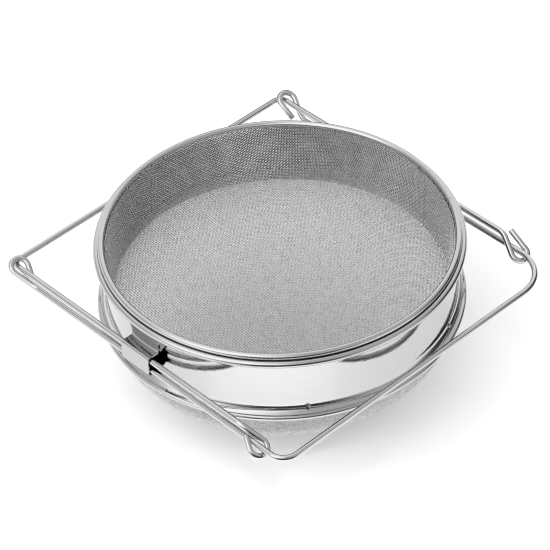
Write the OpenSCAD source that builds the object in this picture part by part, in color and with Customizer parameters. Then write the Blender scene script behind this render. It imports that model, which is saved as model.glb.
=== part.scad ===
// Double sieve strainer: a coarse mesh basket that lifts out of a drum with a fine mesh bowl.
// Two U-shaped wire handles slide out sideways in two clips and rest on the edge of a bucket.
// Millimetres. The sieves' common axis is Z, the handles pull out along X.
// z = 0 is the surface that the bowl rests on.

/* [Sieves] */
// outer radius of the drum's top bead
top_bead_r = 120; // [119.9:0.1:120.4]
// height of the bowl's widest ring above the surface
bowl_h = 59.5; // [58:0.5:60]
// radius of the flat spot that the bowl rests on
foot_r = 25; // [20:1:32]
// radius of the ball that shapes the bowl's bottom
bowl_main_r = 180; // [170:5:190]
// radius of the coarse basket's floor
basket_floor_r = 110.5; // [109.5:0.1:110.8]
// height of the coarse basket's floor above the surface
basket_floor_z = 65; // [64.5:0.5:68]
// thickness of the woven mesh
mesh_t = 0.9; // [0.7:0.1:0.9]
// number of pressed dimples round the foot of the drum
nub_count = 6; // [0:1:12]

/* [Handles] */
// radius of the handle wire
wire_r = 2; // [1.8:0.1:2]
// distance from the sieves' axis to each leg
leg_y = 121; // [120.9:0.1:121.1]
// height of the rear handle's wire above the surface
upper_leg_z = 86.4; // [86.2:0.1:86.5]
// drop from the rear handle's wire to the front handle's wire
leg_gap = 7.6; // [7.4:0.1:7.7]
// distance from the axis to the front handle's crosspiece
front_reach = 127; // [127:0.5:135]
// distance from the axis to the rear handle's crosspiece
rear_reach = 125.3; // [125.3:0.5:133]
// length of the eye at the end of each leg
eye_length = 22.5; // [22:0.1:22.5]
// radius of the eye's round end
eye_r = 5.8; // [5.7:0.1:6]

/* [Clips] */
// length of each clip along the legs
clip_length = 25; // [20:1:26]
// outside height of the clip's channel
channel_h = 14.4; // [14.2:0.1:15]
// thickness of the clip's sheet
clip_t = 0.8; // [0.6:0.1:0.8]
// height of each flange that lies on the drum
flange_h = 6.8; // [5:0.2:8]

/* [Hidden] */
$fn = 96;

// rolled strip: sheet thickness, and how tightly it grips the wire inside
strip = 0.5;
grip = 0.05;

// upper sieve's rim
coarse_tube = 2.15;
coarse_c = 114.85;
coarse_z = 110;
skirt_h = 8;
skirt_r = coarse_c - coarse_tube;

// drum: wall, top bead and bottom bead
wall_r = 114.5;
top_tube = 2.3;
top_c = top_bead_r - top_tube;
top_z = 106.2;
step_low_z = 101;
step_high_z = 104.6;
low_tube = 2.1;
low_c = 118.3;
low_z = 61.4;
flare_r = 6.5;
flare_c = wall_r - strip / 2 + flare_r;
flare_rise = sqrt(pow(flare_r + low_tube - strip / 2, 2) - pow(flare_c - low_c, 2));
flare_z = low_z + flare_rise;
flare_turn = atan2(flare_rise, flare_c - low_c);
nub_ball = 1.6;
nub_sink = 0.8;
nub_angle = -96;
nub_step = 60;

// fine mesh bowl and the hoop that holds its collar against the drum
collar_r = wall_r - strip;
collar_low_z = 68;
collar_top_z = 72.5;
hoop_t = 0.8;
hoop_h = 4;
bowl_r = 115.2;
main_z = sqrt(bowl_main_r * bowl_main_r - foot_r * foot_r);
main_lift = main_z - bowl_h;
side_r = (bowl_main_r * bowl_main_r - bowl_r * bowl_r - main_lift * main_lift)
         / (2 * (bowl_main_r - bowl_r));
join_angle = atan2(-main_lift, bowl_r - side_r);
arc_steps = 12;

// eyes at the ends of the handle wires
lower_leg_z = upper_leg_z - leg_gap;
wire_space = 0.45;
eye_tilt = asin((leg_gap + 2 * wire_r + wire_space) / eye_length);
eye_middle = eye_length - eye_r;
eye_flank = asin(eye_r / eye_middle);
eye_side = eye_middle * cos(eye_flank);
closed_end = eye_side - 6.5;
front_eye_x = 103.9;
rear_eye_near_x = 91;
rear_eye_far_x = 84;
apex_r = 12;
wire_sides = 12;
bend_step = 15;

// clips
clip_x = -3;
clip_face_y = 124;
clip_mid_z = (upper_leg_z + lower_leg_z) / 2 + 0.2;
clip_bend = 1.6;

// points along an arc of a section
function arc(cx, cz, r, from, to) =
    [for (i = [0 : arc_steps]) let (a = from + (to - from) * i / arc_steps)
        [cx + r * cos(a), cz + r * sin(a)]];

// section of a strip rolled round a wire, left open between two angles
module curl(c, z, tube, open_from, open_to) {
    translate([c, z]) difference() {
        circle(r = tube);
        circle(r = tube - strip);
        polygon(concat([[0, 0]], arc(0, 0, 3 * tube, open_from, open_to)));
    }
}

// ring of round wire inside a rolled strip
module core_wire(c, z, tube) {
    translate([0, 0, z]) rotate_extrude() translate([c, 0]) circle(r = tube - strip + grip);
}

// woven basket with a flat floor
module coarse_mesh_basket() {
    floor_in = basket_floor_r - 0.8;
    color("silver") rotate_extrude() polygon([
        [0, basket_floor_z],
        [floor_in, basket_floor_z],
        [basket_floor_r, basket_floor_z + 1],
        [skirt_r, coarse_z - skirt_h - 4],
        [skirt_r, coarse_z - 1],
        [skirt_r - mesh_t, coarse_z - 1],
        [skirt_r - mesh_t, coarse_z - skirt_h - 4],
        [basket_floor_r - mesh_t, basket_floor_z + 1.4],
        [floor_in - mesh_t / 2, basket_floor_z + mesh_t],
        [0, basket_floor_z + mesh_t]
    ]);
}

// strip that is rolled over the basket's rim wire, with a skirt round the mesh
module coarse_rim_band() {
    color("gainsboro") rotate_extrude() {
        curl(coarse_c, coarse_z, coarse_tube, 180, 250);
        translate([skirt_r, coarse_z - skirt_h]) square([strip, skirt_h]);
    }
}

module coarse_rim_wire() {
    color("silver") core_wire(coarse_c, coarse_z, coarse_tube);
}

// drum: plain wall, top edge rolled outwards, foot flared and rolled round the bottom wire
module drum_band() {
    color("gainsboro") {
        rotate_extrude() {
            translate([wall_r - strip, flare_z - 0.1]) square([strip, step_low_z - flare_z + 0.2]);
            polygon([
                [wall_r - strip, step_low_z],
                [wall_r, step_low_z],
                [top_c - top_tube + strip, step_high_z],
                [top_c - top_tube + strip, top_z + 0.2],
                [top_c - top_tube + 0.05, top_z + 0.2],
                [top_c - top_tube, top_z],
                [top_c - top_tube, step_high_z]
            ]);
            curl(top_c, top_z, top_tube, 180, 240);
            polygon(concat(
                arc(flare_c, flare_z, flare_r + strip / 2, 180, 182 + flare_turn),
                arc(flare_c, flare_z, flare_r - strip / 2, 182 + flare_turn, 180)
            ));
            curl(low_c, low_z, low_tube, flare_turn + 4, 200);
        }
        dimples();
    }
}

// small round dimples pressed outwards through the foot of the drum
module dimples() {
    for (i = [0 : 1 : nub_count - 1])
        rotate([0, 0, nub_angle + i * nub_step])
            translate([wall_r + nub_sink / 2 - nub_ball / 2, 0, flare_z - 2])
                rotate([0, 90, 0]) cylinder(r = nub_ball, h = nub_ball);
}

module drum_rim_wire() {
    color("silver") core_wire(top_c, top_z, top_tube);
}

module bottom_bead_wire() {
    color("silver") core_wire(low_c, low_z, low_tube);
}

// flat hoop that presses the bowl's collar against the drum
module mesh_hoop() {
    hoop_r = collar_r - mesh_t;
    color("gray") rotate_extrude() translate([hoop_r - hoop_t, collar_low_z])
        square([hoop_t, hoop_h]);
}

// domed bowl: a shallow ball, a tighter shoulder and a collar that stands inside the drum
module fine_mesh_bowl() {
    color("darkgray") rotate_extrude() polygon(concat(
        [[0, 0]],
        arc(0, main_z, bowl_main_r, -acos(foot_r / bowl_main_r), join_angle),
        arc(bowl_r - side_r, bowl_h, side_r, join_angle, 0),
        [[collar_r, collar_low_z], [collar_r, collar_top_z]],
        [[collar_r - mesh_t, collar_top_z], [collar_r - mesh_t, collar_low_z]],
        arc(bowl_r - side_r, bowl_h, side_r - mesh_t, 0, join_angle),
        arc(0, main_z, bowl_main_r - mesh_t, join_angle, -acos(foot_r / bowl_main_r)),
        [[0, mesh_t]]
    ));
}

// unit vector
function unit(v) = v / norm(v);

// rounded corner at b between a and c: points along the bend
function fillet(a, b, c, r) =
    let (u = unit(a - b), w = unit(c - b), half = acos(u * w) / 2, turn = 180 - 2 * half,
         centre = b + unit(u + w) * r / sin(half), start = b + u * r / tan(half),
         x = unit(start - centre), y = -u, steps = max(2, ceil(turn / bend_step)))
    [for (i = [0 : steps]) centre + r * (x * cos(i * turn / steps) + y * sin(i * turn / steps))];

// centre line through corner points p, each corner rounded to its radius in r
function centre_line(p, r) = concat(
    [p[0]],
    [for (i = [1 : len(p) - 2]) for (q = fillet(p[i - 1], p[i], p[i + 1], r[i])) q],
    [p[len(p) - 1]]);

// round wire along a centre line that never runs straight up
module wire(line) {
    last = len(line) - 1;
    points = [for (i = [0 : last])
        let (t = unit(line[min(i + 1, last)] - line[max(i - 1, 0)]),
             side = unit(cross([0, 0, 1], t)), up = cross(t, side))
        for (k = [0 : wire_sides - 1])
            line[i] + wire_r * (side * cos(k * 360 / wire_sides) + up * sin(k * 360 / wire_sides))];
    walls = [for (i = [0 : last - 1]) for (k = [0 : wire_sides - 1])
        let (n = (k + 1) % wire_sides, low = i * wire_sides, high = low + wire_sides)
        [low + k, high + k, high + n, low + n]];
    first_cap = [for (k = [0 : wire_sides - 1]) k];
    last_cap = [for (k = [wire_sides - 1 : -1 : 0]) last * wire_sides + k];
    polyhedron(points = points, faces = concat([first_cap], walls, [last_cap]));
}

// corner points of an eye, from the leg outwards: leaves the leg towards along, climbs by rise,
// the leg side lies towards side; close is the angle at which the free end turns back to the leg
function eye(apex, along, rise, side, close, tail) =
    let (u = [along * cos(eye_tilt), 0, rise * sin(eye_tilt)], v = [0, side, 0],
         turn = (180 + eye_flank + close) / 3, reach = eye_r / cos(turn / 2),
         first = 90 + eye_flank - turn / 2, end = -90 - close)
    concat(
        [for (i = [0 : 2]) let (a = first - i * turn)
            apex + u * (eye_middle + reach * cos(a)) + v * reach * sin(a)],
        [apex + u * (eye_middle + eye_r * cos(end) - tail * cos(close))
            + v * (eye_r * sin(end) + tail * sin(close))]);

function backwards(list) = [for (i = [len(list) - 1 : -1 : 0]) list[i]];

// handle: eye, leg, crosspiece, leg, eye; s is the side in X that the crosspiece lies on
module handle(s, reach, r_near, r_far, near_x, far_x, z, near_eye, far_eye) {
    near = [near_x, -leg_y, z];
    far = [far_x, leg_y, z];
    p = concat(backwards(near_eye), [near, [s * reach, -leg_y, z], [s * reach, leg_y, z], far], far_eye);
    r = [0, eye_r, eye_r, eye_r, apex_r, r_near, r_far, apex_r, eye_r, eye_r, eye_r, 0];
    wire(centre_line(p, r));
}

// lower handle: its eyes climb over the rear handle's legs, leg side outwards
module front_handle_wire() {
    near = [-front_eye_x, -leg_y, lower_leg_z];
    far = [-front_eye_x, leg_y, lower_leg_z];
    color("lightgray") handle(1, front_reach, 11, 28, -front_eye_x, -front_eye_x, lower_leg_z,
        eye(near, -1, 1, -1, eye_flank, closed_end), eye(far, -1, 1, 1, 0, 13));
}

// upper handle: its eyes drop under the front handle's legs, leg side inwards
module rear_handle_wire() {
    near = [rear_eye_near_x, -leg_y, upper_leg_z];
    far = [rear_eye_far_x, leg_y, upper_leg_z];
    color("lightgray") handle(-1, rear_reach, 6, 6, rear_eye_near_x, rear_eye_far_x, upper_leg_z,
        eye(near, 1, -1, 1, eye_flank, closed_end), eye(far, 1, -1, -1, 0, 15.5));
}

// section of the clip's channel, closed at low X and open towards high X
module channel_section() {
    inner = channel_h - 2 * clip_t;
    in_bend = clip_bend - clip_t;
    difference() {
        union() {
            translate([0, clip_bend]) square([clip_face_y - wall_r + 6, channel_h - 2 * clip_bend]);
            translate([clip_bend, 0]) square([clip_face_y - wall_r + 6 - clip_bend, channel_h]);
            translate([clip_bend, clip_bend]) circle(r = clip_bend);
            translate([clip_bend, channel_h - clip_bend]) circle(r = clip_bend);
        }
        translate([clip_t, clip_bend]) square([40, channel_h - 2 * clip_bend]);
        translate([clip_bend, clip_t]) square([40, inner]);
        translate([clip_bend, clip_bend]) circle(r = in_bend);
        translate([clip_bend, channel_h - clip_bend]) circle(r = in_bend);
    }
}

// one flange, bent to the drum's wall
module flange(z) {
    translate([0, 0, z]) intersection() {
        difference() {
            cylinder(r = wall_r + clip_t, h = flange_h);
            translate([0, 0, -1]) cylinder(r = wall_r, h = flange_h + 2);
        }
        translate([clip_x - clip_length / 2, -clip_face_y, -1])
            cube([clip_length, clip_face_y, flange_h + 2]);
    }
}

// hat-shaped clip that both handles slide in
module clip() {
    low_z = clip_mid_z - channel_h / 2;
    difference() {
        translate([clip_x - clip_length / 2, -clip_face_y, low_z])
            rotate([90, 0, 90]) linear_extrude(clip_length) channel_section();
        translate([0, 0, low_z - 1]) cylinder(r = wall_r, h = channel_h + 2);
    }
    flange(low_z + channel_h - clip_t);
    flange(low_z + clip_t - flange_h);
}

module front_clip() {
    color("gainsboro") clip();
}

module rear_clip() {
    color("gainsboro") mirror([0, 1, 0]) clip();
}

coarse_mesh_basket();
coarse_rim_band();
coarse_rim_wire();
drum_band();
drum_rim_wire();
bottom_bead_wire();
mesh_hoop();
fine_mesh_bowl();
front_handle_wire();
rear_handle_wire();
front_clip();
rear_clip();
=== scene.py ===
import bpy
import math
import numpy as np
from mathutils import Matrix


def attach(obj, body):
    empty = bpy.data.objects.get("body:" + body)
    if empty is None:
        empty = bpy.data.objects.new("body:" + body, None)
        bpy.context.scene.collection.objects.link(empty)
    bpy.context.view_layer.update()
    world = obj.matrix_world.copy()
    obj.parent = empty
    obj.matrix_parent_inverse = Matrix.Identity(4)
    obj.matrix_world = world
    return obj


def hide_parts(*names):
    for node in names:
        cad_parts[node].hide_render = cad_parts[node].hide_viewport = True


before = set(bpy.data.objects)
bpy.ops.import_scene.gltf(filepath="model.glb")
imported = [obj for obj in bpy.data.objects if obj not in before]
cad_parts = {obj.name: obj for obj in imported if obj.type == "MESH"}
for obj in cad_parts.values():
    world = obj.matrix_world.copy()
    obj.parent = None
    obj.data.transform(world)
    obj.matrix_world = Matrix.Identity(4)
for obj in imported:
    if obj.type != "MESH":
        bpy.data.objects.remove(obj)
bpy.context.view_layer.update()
MM = 0.001

# Sizes in millimetres, as in the CAD model
STRIP = 0.5
WALL_R = 114.5
RIM_C, RIM_Z, RIM_TUBE = 114.85, 110.0, 2.15
TOP_C, TOP_Z, TOP_TUBE = 117.7, 106.2, 2.3
LOW_C, LOW_Z, LOW_TUBE = 118.3, 61.4, 2.1
FLARE_R = 6.5
FLARE_C = WALL_R - STRIP / 2 + FLARE_R
FLARE_RISE = math.sqrt((FLARE_R + LOW_TUBE - STRIP / 2) ** 2 - (FLARE_C - LOW_C) ** 2)
FLARE_Z = LOW_Z + FLARE_RISE
FLARE_TURN = math.degrees(math.atan2(FLARE_RISE, FLARE_C - LOW_C))
WIRE_R = 2.0
LEG_Y = 121.0
UPPER_Z = 86.4
LEG_GAP = 7.6
LOWER_Z = UPPER_Z - LEG_GAP
EYE_LENGTH, EYE_R, APEX_R = 22.5, 5.8, 12.0
FRONT_REACH, REAR_REACH = 127.0, 125.3
FRONT_EYE_X, REAR_EYE_NEAR_X, REAR_EYE_FAR_X = 103.9, 91.0, 84.0
WIRE_SPACE = 0.45
SKIRT_LOW_Z = 102.0
DIMPLES, DIMPLE_FIRST, DIMPLE_STEP = 6, -96, 60
CLIP_T, CLIP_LOW_X, CLIP_HIGH_X = 0.8, -15.5, 9.5
CLIP_FACE_Y, CLIP_HALF_H, CLIP_LIFT = 124.0, 7.2, 0.2
BOWL_MAIN_R, BOWL_FOOT_R, BOWL_H, BOWL_R = 180.0, 25.0, 59.5, 115.2
COLLAR_LOW_Z, COLLAR_HIGH_Z = 68.0, 72.5

# Lines down the middle of the CAD model's two mesh shells, rounded to about 0.1 mm
BASKET_FLOOR_Z, BASKET_FLOOR_R, BASKET_WALL_R = 65.5, 110.0, 112.15
BASKET_CREASE_R, BASKET_BEND_R, BASKET_BEND_Z, BASKET_TOP_Z = 1.2, 40.0, 98.0, 109.5
BOWL_HALF_T, COLLAR_R = 0.45, 113.55

# Details that only the visual model has, or that differ a little from the CAD model
CUT_BEVEL = 0.35
SEAM_ANGLE, SEAM_GAP = 61.0, 0.15
SKIRT_HIGH_Z = 108.0
STEP_HIGH_Z, STEP_DROP = 105.2, 4.6
WALL_HIGH_Z = 99.0
DIMPLE_R, DIMPLE_H, DIMPLE_DROP = 2.3, 0.62, 2.6
CLIP_FLANGE, CLIP_OUTER_BEND, CLIP_INNER_BEND = 6.6, 1.9, 1.2
COARSE_PITCH, COARSE_WIRE, COARSE_TURN = 1.638, 0.60, 85.0
FINE_PITCH, FINE_WIRE, FINE_TURN = 1.0, 0.36, 20.0
WEAVE_PARTS = 3


# ---------------------------------------------------------------- mesh helpers

def arc(cx, cz, r, start, end, step=6.0):
    """Points along an arc in a section plane, angles in degrees."""
    n = max(2, int(abs(end - start) / step))
    a = np.radians(np.linspace(start, end, n + 1))
    return np.stack([cx + r * np.cos(a), cz + r * np.sin(a)], 1)


def build(name, verts, quads, body, material, slot, replaces=()):
    """A mesh piece from points in millimetres and four-sided faces."""
    me = bpy.data.meshes.new(name)
    verts = np.asarray(verts, np.float32) * MM
    quads = np.asarray(quads, np.int32)
    me.vertices.add(len(verts))
    me.vertices.foreach_set("co", verts.ravel())
    me.loops.add(quads.size)
    me.loops.foreach_set("vertex_index", quads.ravel())
    me.polygons.add(len(quads))
    me.polygons.foreach_set("loop_start", np.arange(0, quads.size, 4, dtype=np.int32))
    me.polygons.foreach_set("use_smooth", np.ones(len(quads), bool))
    me.update(calc_edges=True)
    me.validate()
    ob = bpy.data.objects.new(name, me)
    bpy.context.scene.collection.objects.link(ob)
    me.materials.append(material)
    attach(ob, body)
    if replaces:
        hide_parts(*replaces)
    return ob


def revolve(section, start=0.0, turn=360.0, steps=360):
    """A closed section (r, z) turned about Z. Less than a full turn gets end caps left open."""
    section = np.asarray(section)
    full = turn >= 360.0
    n = steps if full else steps + 1
    a = np.radians(start + turn * np.arange(n) / steps)
    m = len(section)
    verts = np.stack([
        np.outer(np.cos(a), section[:, 0]),
        np.outer(np.sin(a), section[:, 0]),
        np.tile(section[:, 1], (n, 1)),
    ], 2).reshape(-1, 3)
    i = np.arange(steps)[:, None]
    k = np.arange(m)[None, :]
    j = (i + 1) % n
    l = (k + 1) % m
    quads = np.stack([i * m + k, j * m + k, j * m + l, i * m + l], 2).reshape(-1, 4)
    return verts, quads


def strip_section(line, thickness=STRIP):
    """The closed outline of a strip that follows a centre line, with softened edges."""
    line = np.asarray(line)
    t = np.gradient(line, axis=0)
    t /= np.linalg.norm(t, axis=1)[:, None]
    n = np.stack([-t[:, 1], t[:, 0]], 1)
    h = thickness / 2
    soft = 0.08
    a = line + n * h
    b = line - n * h
    return np.vstack([
        a[0] + t[0] * soft, a[1:-1], a[-1] - t[-1] * soft,
        line[-1] + n[-1] * (h - soft), line[-1] - n[-1] * (h - soft),
        b[-1] - t[-1] * soft, b[-2:0:-1], b[0] + t[0] * soft,
        line[0] - n[0] * (h - soft), line[0] + n[0] * (h - soft),
    ])


def fillet_path(points, radii, step=5.0):
    """Centre line through corner points, each corner rounded to its radius."""
    p = [np.asarray(q, float) for q in points]
    out = [p[0]]
    for i in range(1, len(p) - 1):
        u = p[i - 1] - p[i]
        w = p[i + 1] - p[i]
        u /= np.linalg.norm(u)
        w /= np.linalg.norm(w)
        half = math.acos(np.clip(u @ w, -1, 1)) / 2
        turn = math.pi - 2 * half
        mid = (u + w) / np.linalg.norm(u + w)
        centre = p[i] + mid * radii[i] / math.sin(half)
        start = p[i] + u * radii[i] / math.tan(half)
        x = (start - centre) / np.linalg.norm(start - centre)
        n = max(3, int(math.degrees(turn) / step))
        for k in range(n + 1):
            a = turn * k / n
            out.append(centre + radii[i] * (x * math.cos(a) - u * math.sin(a)))
    out.append(p[-1])
    return np.array(out)


def sweep(line, radius, sides=20, bevel=CUT_BEVEL):
    """A round wire along a line, with its cut ends slightly broken."""
    line = np.asarray(line)
    d0 = (line[1] - line[0]) / np.linalg.norm(line[1] - line[0])
    d1 = (line[-1] - line[-2]) / np.linalg.norm(line[-1] - line[-2])
    pts = [line[0], line[0], line[0] + d0 * bevel * 0.4, line[0] + d0 * bevel]
    rad = [0.02, radius - bevel, radius - bevel * 0.3, radius]
    pts += list(line[1:-1])
    rad += [radius] * (len(line) - 2)
    pts += [line[-1] - d1 * bevel, line[-1] - d1 * bevel * 0.4, line[-1], line[-1]]
    rad += [radius, radius - bevel * 0.3, radius - bevel, 0.02]
    pts = np.array(pts)
    rad = np.array(rad)
    t = np.vstack([np.tile(d0, (4, 1)), line[2:] - line[:-2], np.tile(d1, (4, 1))])
    t /= np.linalg.norm(t, axis=1)[:, None]
    side = np.cross([0, 0, 1.0], t)
    side /= np.linalg.norm(side, axis=1)[:, None]
    up = np.cross(t, side)
    a = np.radians(np.arange(sides) * 360 / sides)
    verts = (pts[:, None] + rad[:, None, None] * (
        side[:, None] * np.cos(a)[None, :, None] + up[:, None] * np.sin(a)[None, :, None])).reshape(-1, 3)
    i = np.arange(len(pts) - 1)[:, None]
    k = np.arange(sides)[None, :]
    l = (k + 1) % sides
    quads = np.stack([i * sides + k, i * sides + l, (i + 1) * sides + l, (i + 1) * sides + k], 2)
    return verts, quads.reshape(-1, 4)


# ---------------------------------------------------------------- materials

def steel(name, base, rough, rough_var=0.03, colour_var=0.06, scale=(60, 60, 60), bump=0.02):
    """Stainless steel: metal whose tone, gloss and surface vary a little along scale."""
    m = bpy.data.materials.new(name)
    m.use_nodes = True
    nt = m.node_tree
    bsdf = nt.nodes["Principled BSDF"]
    bsdf.inputs["Metallic"].default_value = 1.0
    coord = nt.nodes.new("ShaderNodeTexCoord")
    mapping = nt.nodes.new("ShaderNodeMapping")
    mapping.inputs["Scale"].default_value = scale
    noise = nt.nodes.new("ShaderNodeTexNoise")
    noise.inputs["Scale"].default_value = 1.0
    noise.inputs["Detail"].default_value = 4.0
    nt.links.new(coord.outputs["Object"], mapping.inputs["Vector"])
    nt.links.new(mapping.outputs["Vector"], noise.inputs["Vector"])
    ramp = nt.nodes.new("ShaderNodeMapRange")
    ramp.inputs["From Min"].default_value = 0.3
    ramp.inputs["From Max"].default_value = 0.7
    ramp.inputs["To Min"].default_value = max(0.01, rough - rough_var)
    ramp.inputs["To Max"].default_value = rough + rough_var
    nt.links.new(noise.outputs["Fac"], ramp.inputs["Value"])
    nt.links.new(ramp.outputs["Result"], bsdf.inputs["Roughness"])
    mix = nt.nodes.new("ShaderNodeMix")
    mix.data_type = "RGBA"
    mix.inputs["A"].default_value = (*[c * (1 - colour_var) for c in base], 1)
    mix.inputs["B"].default_value = (*[min(1.0, c * (1 + colour_var)) for c in base], 1)
    nt.links.new(noise.outputs["Fac"], mix.inputs["Factor"])
    nt.links.new(mix.outputs["Result"], bsdf.inputs["Base Color"])
    if bump:
        b = nt.nodes.new("ShaderNodeBump")
        b.inputs["Strength"].default_value = bump
        b.inputs["Distance"].default_value = 0.001
        nt.links.new(noise.outputs["Fac"], b.inputs["Height"])
        nt.links.new(b.outputs["Normal"], bsdf.inputs["Normal"])
    return m


band_steel = steel("band_steel", (0.53, 0.53, 0.53), 0.07, scale=(25, 25, 900), bump=0.02)
bead_steel = steel("bead_steel", (0.55, 0.55, 0.55), 0.07, scale=(90, 90, 90), bump=0.02)
wire_steel = steel("wire_steel", (0.58, 0.58, 0.58), 0.07, scale=(300, 300, 300), bump=0.02)
clip_steel = steel("clip_steel", (0.50, 0.50, 0.50), 0.10, scale=(120, 120, 500), bump=0.02)
# Painted light: the two wire families get a lit and a shaded copy of one steel. The first family is painted
# lighter (0.92) and the second painted darker (0.66), standing in for the light that catches one family's
# knuckles more than the other's.
coarse_lit_and_shaded_steel = [steel("coarse_mesh_%s" % n, (c, c, c), 0.20,
                      colour_var=0.08, scale=(150, 150, 150), bump=0)
                for n, c in (("warp_painted_lit", 0.92), ("weft_painted_shade", 0.66))]
fine_steel = steel("fine_mesh_steel", (0.80, 0.80, 0.80), 0.28,
                   colour_var=0.10, scale=(200, 200, 200), bump=0)
inner_steel = steel("inner_steel", (0.6, 0.6, 0.6), 0.25, scale=(90, 90, 90), bump=0.02)

for node in ("coarse_rim_wire", "drum_rim_wire", "bottom_bead_wire", "mesh_hoop"):
    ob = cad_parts[node]
    ob.data.materials.clear()
    ob.data.materials.append(inner_steel)


# ---------------------------------------------------------------- rolled strips

def rim():
    """Strip rolled over the coarse sieve's rim wire, with its butt seam and its skirt."""
    curl = arc(RIM_C, RIM_Z, RIM_TUBE - STRIP / 2, -108, 180)
    skirt_r = RIM_C - RIM_TUBE + STRIP / 2
    skirt = np.array([[skirt_r, z] for z in np.linspace(SKIRT_HIGH_Z, SKIRT_LOW_Z, 4)])
    return revolve(strip_section(np.vstack([curl, skirt])), start=SEAM_ANGLE, turn=360 - SEAM_GAP)


def drum():
    """The drum: top edge rolled outwards, plain wall, flared foot rolled round its wire."""
    top = arc(TOP_C, TOP_Z, TOP_TUBE - STRIP / 2, -115, 180)
    inner = TOP_C - TOP_TUBE + STRIP / 2
    mid = WALL_R - STRIP / 2
    s = np.linspace(0, 1, 9)
    ease = s * s * (3 - 2 * s)
    step = np.stack([inner + (mid - inner) * ease, STEP_HIGH_Z - STEP_DROP * s], 1)
    wall = np.array([[mid, z] for z in np.linspace(WALL_HIGH_Z, FLARE_Z + 1, 12)])
    flare = arc(FLARE_C, FLARE_Z, FLARE_R, 180, 180 + FLARE_TURN)
    foot = arc(LOW_C, LOW_Z, LOW_TUBE - STRIP / 2, FLARE_TURN, -160)[1:]
    line = np.vstack([top, step, wall, flare, foot])
    verts, quads = revolve(strip_section(line))
    parts_v, parts_q, base = [verts], [quads], len(verts)
    for k in range(DIMPLES):
        v, q = dimple(math.radians(DIMPLE_FIRST + DIMPLE_STEP * k))
        parts_v.append(v)
        parts_q.append(q + base)
        base += len(v)
    return np.vstack(parts_v), np.vstack(parts_q)


def dimple(angle):
    """Small round dimple pressed outwards through the drum's foot."""
    rings, sides = 8, 24
    verts = []
    for i in range(rings + 1):
        t = i / rings
        r = DIMPLE_R * t + 0.02
        h = DIMPLE_H * 0.5 * (1 + math.cos(math.pi * t)) - 0.04 * t
        for k in range(sides):
            a = 2 * math.pi * k / sides
            y, z = r * math.cos(a), FLARE_Z - DIMPLE_DROP + r * math.sin(a)
            drop = max(0.0, FLARE_Z - z)
            x = FLARE_C - math.sqrt(max(0.0, (FLARE_R - STRIP / 2) ** 2 - drop ** 2)) + h
            verts.append((x, y, z))
    verts = np.array(verts)
    c, s = math.cos(angle), math.sin(angle)
    verts = np.stack([verts[:, 0] * c - verts[:, 1] * s, verts[:, 0] * s + verts[:, 1] * c, verts[:, 2]], 1)
    i = np.arange(rings)[:, None]
    k = np.arange(sides)[None, :]
    l = (k + 1) % sides
    quads = np.stack([i * sides + k, (i + 1) * sides + k, (i + 1) * sides + l, i * sides + l], 2)
    return verts, quads.reshape(-1, 4)


build("rim_roll", *rim(), "upper_sieve", bead_steel, "polished_steel", ["coarse_rim_band"])
build("drum_shell", *drum(), "lower_sieve", band_steel, "polished_steel", ["drum_band"])


# ---------------------------------------------------------------- handles

TILT = math.asin((LEG_GAP + 2 * WIRE_R + WIRE_SPACE) / EYE_LENGTH)
EYE_MID = EYE_LENGTH - EYE_R
FLANK = math.asin(EYE_R / EYE_MID)
CLOSED_END = EYE_MID * math.cos(FLANK) - 6.5


def eye(apex, along, rise, side, close, tail):
    """Corner points of an eye, from the leg outwards."""
    u = np.array([along * math.cos(TILT), 0, rise * math.sin(TILT)])
    v = np.array([0, side, 0.0])
    turn = (math.pi + FLANK + close) / 3
    reach = EYE_R / math.cos(turn / 2)
    first = math.pi / 2 + FLANK - turn / 2
    end = -math.pi / 2 - close
    pts = [apex + u * (EYE_MID + reach * math.cos(first - i * turn))
           + v * reach * math.sin(first - i * turn) for i in range(3)]
    pts.append(apex + u * (EYE_MID + EYE_R * math.cos(end) - tail * math.cos(close))
               + v * (EYE_R * math.sin(end) + tail * math.sin(close)))
    return pts


def handle(s, reach, r_near, r_far, near, far, near_eye, far_eye):
    z = near[2]
    pts = near_eye[::-1] + [near, (s * reach, -LEG_Y, z), (s * reach, LEG_Y, z), far] + far_eye
    radii = [0, EYE_R, EYE_R, EYE_R, APEX_R, r_near, r_far, APEX_R, EYE_R, EYE_R, EYE_R, 0]
    return sweep(fillet_path(pts, radii), WIRE_R)


near = np.array([-FRONT_EYE_X, -LEG_Y, LOWER_Z])
far = np.array([-FRONT_EYE_X, LEG_Y, LOWER_Z])
build("front_handle_rod", *handle(1, FRONT_REACH, 11, 28, near, far,
      eye(near, -1, 1, -1, FLANK, CLOSED_END), eye(far, -1, 1, 1, 0, 13)),
      "front_handle", wire_steel, "wire_steel", ["front_handle_wire"])
near = np.array([REAR_EYE_NEAR_X, -LEG_Y, UPPER_Z])
far = np.array([REAR_EYE_FAR_X, LEG_Y, UPPER_Z])
build("rear_handle_rod", *handle(-1, REAR_REACH, 6, 6, near, far,
      eye(near, 1, -1, 1, FLANK, CLOSED_END), eye(far, 1, -1, -1, 0, 15.5)),
      "rear_handle", wire_steel, "wire_steel", ["rear_handle_wire"])


# ---------------------------------------------------------------- clips

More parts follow.
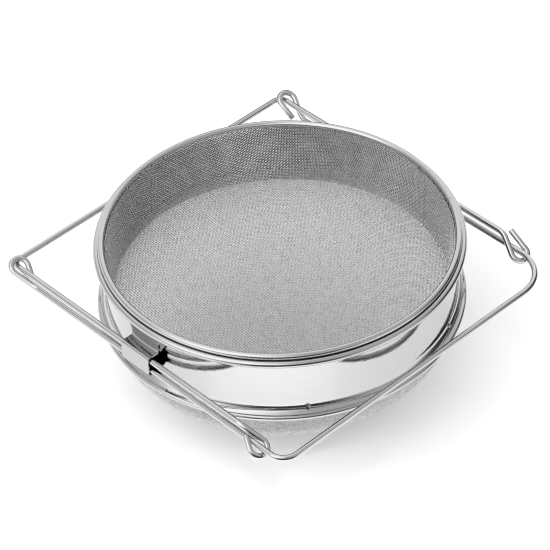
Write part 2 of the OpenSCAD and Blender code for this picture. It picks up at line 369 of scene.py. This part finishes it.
def clip(side):
    """Pressed hat-shaped clip. side is -1 for the front one and 1 for the rear one."""
    t = CLIP_T
    mid_z = (UPPER_Z + LOWER_Z) / 2 + CLIP_LIFT
    xs = np.linspace(CLIP_LOW_X, CLIP_HIGH_X, 27)
    rows = []
    for x in xs:
        wall = -math.sqrt((WALL_R + t / 2) ** 2 - x * x)
        face = -CLIP_FACE_Y + t / 2
        high, low = mid_z + CLIP_HALF_H - t / 2, mid_z - CLIP_HALF_H + t / 2
        pts = [(wall, high + CLIP_FLANGE, 0), (wall, high, 0), (face, high, 0),
               (face, low, 0), (wall, low, 0), (wall, low - CLIP_FLANGE, 0)]
        bends = [0, CLIP_OUTER_BEND, CLIP_INNER_BEND, CLIP_INNER_BEND, CLIP_OUTER_BEND, 0]
        line = fillet_path(pts, bends, step=12)
        rows.append([(x, p[0] * -side, p[1]) for p in line])
    grid = np.array(rows)
    n, m = grid.shape[:2]
    du = np.gradient(grid, axis=0)
    dv = np.gradient(grid, axis=1)
    normal = np.cross(du, dv)
    normal /= np.linalg.norm(normal, axis=2)[:, :, None]
    a = (grid + normal * t / 2).reshape(-1, 3)
    b = (grid - normal * t / 2).reshape(-1, 3)
    i = np.arange(n - 1)[:, None]
    k = np.arange(m - 1)[None, :]
    top = np.stack([i * m + k, (i + 1) * m + k, (i + 1) * m + k + 1, i * m + k + 1], 2).reshape(-1, 4)
    size = n * m
    loop = ([k for k in range(m)] + [i * m + m - 1 for i in range(1, n)]
            + [(n - 1) * m + k for k in range(m - 2, -1, -1)] + [i * m for i in range(n - 2, 0, -1)])
    loop = np.array(loop)
    # the sheet's cut edges have their own points, so that they shade flat
    edge = np.vstack([a[loop], b[loop]])
    c = len(loop)
    q = np.arange(c)
    rim_quads = np.stack([q, (q + 1) % c, (q + 1) % c + c, q + c], 1) + 2 * size
    verts = np.vstack([a, b, edge])
    quads = np.vstack([top, top[:, ::-1] + size, rim_quads])
    return verts, quads


build("front_clip_sheet", *clip(-1), "lower_sieve", clip_steel, "polished_steel", ["front_clip"])
build("rear_clip_sheet", *clip(1), "lower_sieve", clip_steel, "polished_steel", ["rear_clip"])


# ---------------------------------------------------------------- woven mesh

def profile(line, step=0.25):
    """Resamples a profile (r, z) from the axis outwards by arc length."""
    line = np.asarray(line)
    seg = np.linalg.norm(np.diff(line, axis=0), axis=1)
    s = np.concatenate([[0], np.cumsum(seg)])
    n = int(s[-1] / step)
    t = np.linspace(0, s[-1], n + 1)
    p = np.stack([np.interp(t, s, line[:, 0]), np.interp(t, s, line[:, 1])], 1)
    d = np.gradient(p, axis=0)
    d /= np.linalg.norm(d, axis=1)[:, None]
    return t, p, np.stack([-d[:, 1], d[:, 0]], 1)


def woven(prof, pitch, wire, turn, sides, steps, family, part, parts):
    """Wires of one family of a plain weave, laid on a turned surface.
    The cloth is flat before it is pressed: a point's distance from the centre stays its
    distance along the profile. sides is the number of sides of a wire's section and steps
    the points per pitch. part of parts takes one block of neighbouring wires."""
    s, p, nrm = prof
    total = s[-1]
    count = int(total / pitch)
    ring = np.radians(np.arange(sides) * 360 / sides)
    all_v, all_q, base = [], [], 0
    for i in range(-count, count + 1):
        if (i + count) * parts // (2 * count + 1) != part:
            continue
        c = (i + 0.5) * pitch
        half = total * total - c * c
        if half <= (2 * pitch) ** 2:
            continue
        half = math.sqrt(half)
        k0, k1 = math.ceil(-half / pitch - 0.5), math.floor(half / pitch - 0.5)
        k = np.arange(k0, k1 + 0.01, 1.0 / steps)
        along = (k + 0.5) * pitch
        lift = np.cos(math.pi * (k + i)) * wire / 2 * (1 if family else -1)
        u, v = (np.full_like(along, c), along) if family else (along, np.full_like(along, c))
        rho = np.hypot(u, v)
        ang = np.arctan2(v, u) + math.radians(turn)
        r = np.interp(rho, s, p[:, 0])
        z = np.interp(rho, s, p[:, 1])
        nr = np.interp(rho, s, nrm[:, 0])
        nz = np.interp(rho, s, nrm[:, 1])
        rad = np.stack([np.cos(ang), np.sin(ang), np.zeros_like(ang)], 1)
        n = rad * nr[:, None]
        n[:, 2] = nz
        pts = rad * r[:, None]
        pts[:, 2] = z
        pts = pts + n * lift[:, None]
        t = np.gradient(pts, axis=0)
        t /= np.linalg.norm(t, axis=1)[:, None]
        side = np.cross(n, t)
        side /= np.linalg.norm(side, axis=1)[:, None]
        up = np.cross(t, side)
        verts = pts[:, None] + wire / 2 * (
            side[:, None] * np.cos(ring)[None, :, None] + up[:, None] * np.sin(ring)[None, :, None])
        m = len(pts)
        a = np.arange(m - 1)[:, None]
        b = np.arange(sides)[None, :]
        l = (b + 1) % sides
        quads = np.stack([a * sides + b, a * sides + l, (a + 1) * sides + l, (a + 1) * sides + b], 2)
        all_v.append(verts.reshape(-1, 3))
        all_q.append(quads.reshape(-1, 4) + base)
        base += m * sides
    return np.vstack(all_v), np.vstack(all_q)


# coarse basket: flat floor, tight crease, slightly flared wall
corners = [(0, BASKET_FLOOR_Z, 0), (BASKET_FLOOR_R, BASKET_FLOOR_Z, 0),
           (BASKET_WALL_R, BASKET_BEND_Z, 0), (BASKET_WALL_R, BASKET_TOP_Z, 0)]
coarse_line = fillet_path(corners, [0, BASKET_CREASE_R, BASKET_BEND_R, 0], step=1)[:, :2]
coarse = profile(coarse_line)
for family in (0, 1):
    for part in range(WEAVE_PARTS):
        build("coarse_weave_%d%d" % (family, part),
              *woven(coarse, COARSE_PITCH, COARSE_WIRE, COARSE_TURN, 4, 2, family, part, WEAVE_PARTS),
              "upper_sieve", coarse_lit_and_shaded_steel[family], "coarse_mesh",
              ["coarse_mesh_basket"] if (family, part) == (0, 0) else ())

# fine bowl: shallow ball, tighter shoulder, collar inside the drum
main_z = math.sqrt(BOWL_MAIN_R ** 2 - BOWL_FOOT_R ** 2)
lift = main_z - BOWL_H
side_r = (BOWL_MAIN_R ** 2 - BOWL_R ** 2 - lift ** 2) / (2 * (BOWL_MAIN_R - BOWL_R))
join = math.degrees(math.atan2(-lift, BOWL_R - side_r))
foot_angle = -math.degrees(math.acos(BOWL_FOOT_R / BOWL_MAIN_R))
fine_line = np.vstack([
    [[0, BOWL_HALF_T]],
    arc(0, main_z, BOWL_MAIN_R - BOWL_HALF_T, foot_angle, join, step=0.5),
    arc(BOWL_R - side_r, BOWL_H, side_r - BOWL_HALF_T, join, 0, step=1)[1:],
    [[COLLAR_R, COLLAR_LOW_Z], [COLLAR_R, COLLAR_HIGH_Z]],
])
fine = profile(fine_line)
for family in (0, 1):
    for part in range(WEAVE_PARTS):
        build("fine_weave_%d%d" % (family, part),
              *woven(fine, FINE_PITCH, FINE_WIRE, FINE_TURN, 3, 1, family, part, WEAVE_PARTS),
              "lower_sieve", fine_steel, "fine_mesh",
              ["fine_mesh_bowl"] if (family, part) == (0, 0) else ())


# ---------------------------------------------------------------- studio

def plane(name, size, z):
    me = bpy.data.meshes.new(name)
    h = size / 2
    me.from_pydata([(-h, -h, z), (h, -h, z), (h, h, z), (-h, h, z)], [], [(0, 1, 2, 3)])
    ob = bpy.data.objects.new(name, me)
    bpy.context.scene.collection.objects.link(ob)
    return ob


floor = plane("floor", 30.0, -0.0005)
fm = bpy.data.materials.new("floor_white")
fm.use_nodes = True
fb = fm.node_tree.nodes["Principled BSDF"]
fb.inputs["Base Color"].default_value = (0.93, 0.93, 0.93, 1)
fb.inputs["Roughness"].default_value = 0.9
fb.inputs["Specular IOR Level"].default_value = 0.1
floor.data.materials.append(fm)

world = bpy.data.worlds.new("studio")
bpy.context.scene.world = world
world.use_nodes = True
wn = world.node_tree
bg = wn.nodes["Background"]
sky = wn.nodes.new("ShaderNodeTexCoord").outputs["Generated"]
ramp = wn.nodes.new("ShaderNodeValToRGB")
split = wn.nodes.new("ShaderNodeSeparateXYZ")
wn.links.new(sky, split.inputs["Vector"])
wn.links.new(split.outputs["Z"], ramp.inputs["Fac"])
els = ramp.color_ramp.elements
els[0].position = 0.0
els[0].color = (0.12, 0.12, 0.12, 1)
els[1].position = 1.0
els[1].color = (1, 1, 1, 1)
for pos, val in ((0.05, 0.12), (0.14, 0.95), (0.4, 1.0)):
    e = els.new(pos)
    e.color = (val, val, val, 1)
tone = ramp.outputs["Color"]


def card(tone, turn, height, inner, outer, value):
    """Lays a soft-edged round panel, bright or dark, over the sky's tone.
    turn is measured from -Y towards +X."""
    t, h = math.radians(turn), math.radians(height)
    dot = wn.nodes.new("ShaderNodeVectorMath")
    dot.operation = "DOT_PRODUCT"
    dot.inputs[1].default_value = (math.sin(t) * math.cos(h), -math.cos(t) * math.cos(h), math.sin(h))
    wn.links.new(sky, dot.inputs[0])
    soft = wn.nodes.new("ShaderNodeMapRange")
    soft.interpolation_type = "SMOOTHSTEP"
    soft.inputs["From Min"].default_value = math.cos(math.radians(outer))
    soft.inputs["From Max"].default_value = math.cos(math.radians(inner))
    wn.links.new(dot.outputs["Value"], soft.inputs["Value"])
    mix = wn.nodes.new("ShaderNodeMix")
    mix.data_type = "RGBA"
    mix.inputs["B"].default_value = (value, value, value, 1)
    wn.links.new(soft.outputs["Result"], mix.inputs["Factor"])
    wn.links.new(tone, mix.inputs["A"])
    return mix.outputs["Result"]


tone = card(tone, 12, 50, 25, 45, 1.5)
tone = card(tone, 118, 42, 35, 60, 0.55)
tone = card(tone, 136, 8, 6, 15, 0.30)
tone = card(tone, -62, 22, 18, 38, 0.62)

# the floor is lit a little more than the steel is, and comes out white
path = wn.nodes.new("ShaderNodeLightPath")
power = wn.nodes.new("ShaderNodeMapRange")
power.inputs["To Min"].default_value = 1.12
power.inputs["To Max"].default_value = 1.8
wn.links.new(path.outputs["Is Diffuse Ray"], power.inputs["Value"])
wn.links.new(power.outputs["Result"], bg.inputs["Strength"])
wn.links.new(tone, bg.inputs["Color"])


def spot(name, power, location, target, spread):
    """A soft round pool of light, hidden from mirror reflections and from the camera."""
    data = bpy.data.lights.new(name, "SPOT")
    data.energy = power
    data.spot_size = math.radians(spread)
    data.spot_blend = 1.0
    data.shadow_soft_size = 0.08
    ob = bpy.data.objects.new(name, data)
    bpy.context.scene.collection.objects.link(ob)
    loc = np.array(location, float)
    back = loc - np.array(target, float)
    back /= np.linalg.norm(back)
    right = np.cross([0.0, 1.0, 0.0], back)
    right /= np.linalg.norm(right)
    up = np.cross(back, right)
    m = np.eye(4)
    m[:3, 0], m[:3, 1], m[:3, 2], m[:3, 3] = right, up, back, loc
    ob.matrix_world = Matrix(m.tolist())
    ob.visible_glossy = False
    ob.visible_camera = False


def flag(name, start, end, distance, height, soft):
    """A curved black card that only polished steel sees, faded out at its ends and top."""
    cols, rows = 24, 10
    verts, dense = [], []
    for i in range(cols + 1):
        u = i / cols
        t = math.radians(start + (end - start) * u)
        side = min(1.0, min(u, 1 - u) / soft)
        for k in range(rows + 1):
            w = k / rows
            verts.append((math.sin(t) * distance, -math.cos(t) * distance, height * w))
            fade = side * min(1.0, (1 - w) / 0.35)
            dense.append(fade * fade * (3 - 2 * fade))
    row = rows + 1
    faces = [(i * row + k, (i + 1) * row + k, (i + 1) * row + k + 1, i * row + k + 1)
             for i in range(cols) for k in range(rows)]
    me = bpy.data.meshes.new(name)
    me.from_pydata(verts, [], faces)
    me.attributes.new("dense", "FLOAT", "POINT").data.foreach_set("value", dense)
    ob = bpy.data.objects.new(name, me)
    bpy.context.scene.collection.objects.link(ob)
    black = bpy.data.materials.new(name)
    black.use_nodes = True
    nt = black.node_tree
    shader = nt.nodes["Principled BSDF"]
    shader.inputs["Base Color"].default_value = (0.04, 0.04, 0.04, 1)
    shader.inputs["Roughness"].default_value = 1.0
    density = nt.nodes.new("ShaderNodeAttribute")
    density.attribute_name = "dense"
    nt.links.new(density.outputs["Fac"], shader.inputs["Alpha"])
    me.materials.append(black)
    ob.visible_camera = ob.visible_diffuse = ob.visible_shadow = ob.visible_transmission = False


spot("front_pool", 7.5, (0.30, -0.36, 0.60), (0.175, -0.205, 0.0), 36)
flag("front_flag", 4, 96, 0.33, 0.26, 0.38)
flag("right_flag", 106, 180, 0.33, 0.24, 0.38)
flag("left_flag", -170, -90, 0.33, 0.24, 0.38)

# camera: aim point on the drum's axis, turn round it, height angle, distance and roll
AIM = np.array([-0.00744, 0.00130, 0.070])
TURN, HEIGHT, DISTANCE, ROLL = math.radians(47.730), math.radians(41.313), 1.77415, math.radians(-2.617)
back = np.array([math.sin(TURN) * math.cos(HEIGHT), -math.cos(TURN) * math.cos(HEIGHT), math.sin(HEIGHT)])
level = np.cross([0, 0, 1.0], back)
level /= np.linalg.norm(level)
lup = np.cross(back, level)
right = level * math.cos(ROLL) + lup * math.sin(ROLL)
up = -level * math.sin(ROLL) + lup * math.cos(ROLL)
cam_data = bpy.data.cameras.new("camera")
cam_data.sensor_width = 36
cam_data.lens = 177.99
cam_data.clip_end = 50
cam = bpy.data.objects.new("camera", cam_data)
bpy.context.scene.collection.objects.link(cam)
m = np.eye(4)
m[:3, 0], m[:3, 1], m[:3, 2], m[:3, 3] = right, up, back, AIM + back * DISTANCE
cam.matrix_world = Matrix(m.tolist())
bpy.context.scene.camera = cam
bpy.context.scene.view_settings.view_transform = "Standard"
bpy.context.scene.cycles.use_denoising = True
bpy.context.scene.cycles.denoising_prefilter = "NONE"
bpy.context.scene.cycles.filter_width = 1.2
